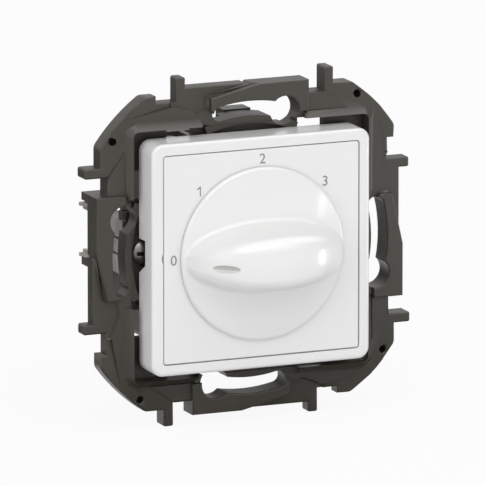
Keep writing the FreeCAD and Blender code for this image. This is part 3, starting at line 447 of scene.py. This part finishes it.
def pale_floor():
    """A floor that looks almost white and keeps the object's shadow."""
    floor = level_sheet("floor", 2 * FLOOR_HALF, 2 * FLOOR_HALF, (0, 0, cad_low.z - FLOOR_DROP))
    material = bpy.data.materials.new("pale_floor")
    material.use_nodes = True
    tree = material.node_tree
    tree.nodes.clear()
    out = tree.nodes.new("ShaderNodeOutputMaterial")
    blend = tree.nodes.new("ShaderNodeMixShader")
    matt = tree.nodes.new("ShaderNodeBsdfDiffuse")
    matt.inputs["Color"].default_value = FLOOR_TONE
    glow = tree.nodes.new("ShaderNodeEmission")
    path = tree.nodes.new("ShaderNodeLightPath")
    seen = tree.nodes.new("ShaderNodeMath")
    seen.operation = "MULTIPLY"
    seen.inputs[1].default_value = FLOOR_WHITE
    tree.links.new(direct_view(tree, path), seen.inputs[0])
    tree.links.new(seen.outputs["Value"], blend.inputs["Fac"])
    tree.links.new(matt.outputs["BSDF"], blend.inputs[1])
    tree.links.new(glow.outputs["Emission"], blend.inputs[2])
    tree.links.new(blend.outputs["Shader"], out.inputs["Surface"])
    give(floor, material)


def dark_card(name, low, high):
    """A black card on the floor that shows only in the object's gloss."""
    middle = ((low[0] + high[0]) / 2, (low[1] + high[1]) / 2, cad_low.z - CARD_DROP)
    card = level_sheet(name, high[0] - low[0], high[1] - low[1], middle)
    material = bpy.data.materials.new(name)
    material.use_nodes = True
    set_plain(material, "Base Color", CARD_TONE)
    set_plain(material, "Roughness", CARD_ROUGH)
    give(card, material)
    card.visible_camera = False
    card.visible_diffuse = False
    card.visible_shadow = False


def soft_box(name, place, wide, tall, power, lights=True, shines=True):
    """A rectangular studio light that faces the object, to light its faces, to show in its gloss, or both."""
    lamp = bpy.data.lights.new(name, "AREA")
    lamp.shape = "RECTANGLE"
    lamp.size = wide
    lamp.size_y = tall
    lamp.energy = power
    light = bpy.data.objects.new(name, lamp)
    light.location = place
    light.visible_camera = False
    light.visible_diffuse = lights
    light.visible_glossy = shines
    light.rotation_euler = (-Vector(place)).to_track_quat("-Z", "Y").to_euler()
    bpy.context.scene.collection.objects.link(light)


def studio_world():
    """Even light from all round, which is white where it is seen."""
    world = bpy.data.worlds.new("studio")
    bpy.context.scene.world = world
    world.use_nodes = True
    tree = world.node_tree
    room = tree.nodes["Background"]
    room.inputs["Color"].default_value = (1.0, 1.0, 1.0, 1.0)
    room.inputs["Strength"].default_value = ROOM_LIGHT
    white = tree.nodes.new("ShaderNodeBackground")
    white.inputs["Strength"].default_value = 1.0
    path = tree.nodes.new("ShaderNodeLightPath")
    blend = tree.nodes.new("ShaderNodeMixShader")
    tree.links.new(direct_view(tree, path), blend.inputs["Fac"])
    tree.links.new(room.outputs["Background"], blend.inputs[1])
    tree.links.new(white.outputs["Background"], blend.inputs[2])
    tree.links.new(blend.outputs["Shader"], tree.nodes["World Output"].inputs["Surface"])


pale_floor()
dark_card("side_card", low=(-0.7, 0.05), high=(-0.05, 0.9))
dark_card("front_card", low=(-0.08, -0.055), high=(0.13, -0.002))
studio_world()
soft_box("key_box", (0.0, -1.0, 1.05), wide=2.0, tall=0.9, power=6.8)
soft_box("left_fill", (-1.1, -0.5, 0.35), wide=0.8, tall=0.8, power=2.6)
soft_box("window_pane", (0.243, -0.340, -0.0195), wide=0.013, tall=0.030, power=0.013)
soft_box("window_strip", (0.255, -0.332, -0.0215), wide=0.003, tall=0.030, power=0.004)
soft_box("side_window", (0.136, -0.076, -0.0165), wide=0.030, tall=0.042, power=0.026, lights=False)
soft_box("overhead_shine", (0.15, -0.2, 0.95), wide=2.3, tall=0.8, power=12.0, lights=False)
soft_box("low_fill", (0.03, -0.16, -0.018), wide=0.16, tall=0.03, power=0.015, shines=False)


# Camera: the place and lens found from the panel's and the frame's edges in the photograph

CAMERA_AZIMUTH = math.radians(-23.10)
CAMERA_ELEVATION = math.radians(12.04)
CAMERA_AIM = Vector((-4.43, -10.96, 2.60)) * MM
CAMERA_DISTANCE = 2.0356
SENSOR_WIDTH = 36.0
LENS_LENGTH = 715.6
CLIP_NEAR = 0.1
CLIP_FAR = 20.0


def photo_camera():
    """A long lens that looks at the aim point from the photograph's side."""
    level = math.cos(CAMERA_ELEVATION)
    back = Vector((math.sin(CAMERA_AZIMUTH) * level, -math.cos(CAMERA_AZIMUTH) * level,
                   math.sin(CAMERA_ELEVATION)))
    data = bpy.data.cameras.new("photo_camera")
    data.sensor_width = SENSOR_WIDTH
    data.lens = LENS_LENGTH
    data.clip_start = CLIP_NEAR
    data.clip_end = CLIP_FAR
    camera = bpy.data.objects.new("photo_camera", data)
    camera.location = CAMERA_AIM + back * CAMERA_DISTANCE
    camera.rotation_mode = "QUATERNION"
    camera.rotation_quaternion = (-back).to_track_quat("-Z", "Y")
    bpy.context.scene.collection.objects.link(camera)
    bpy.context.scene.camera = camera


photo_camera()
bpy.context.scene.view_settings.view_transform = "Standard"
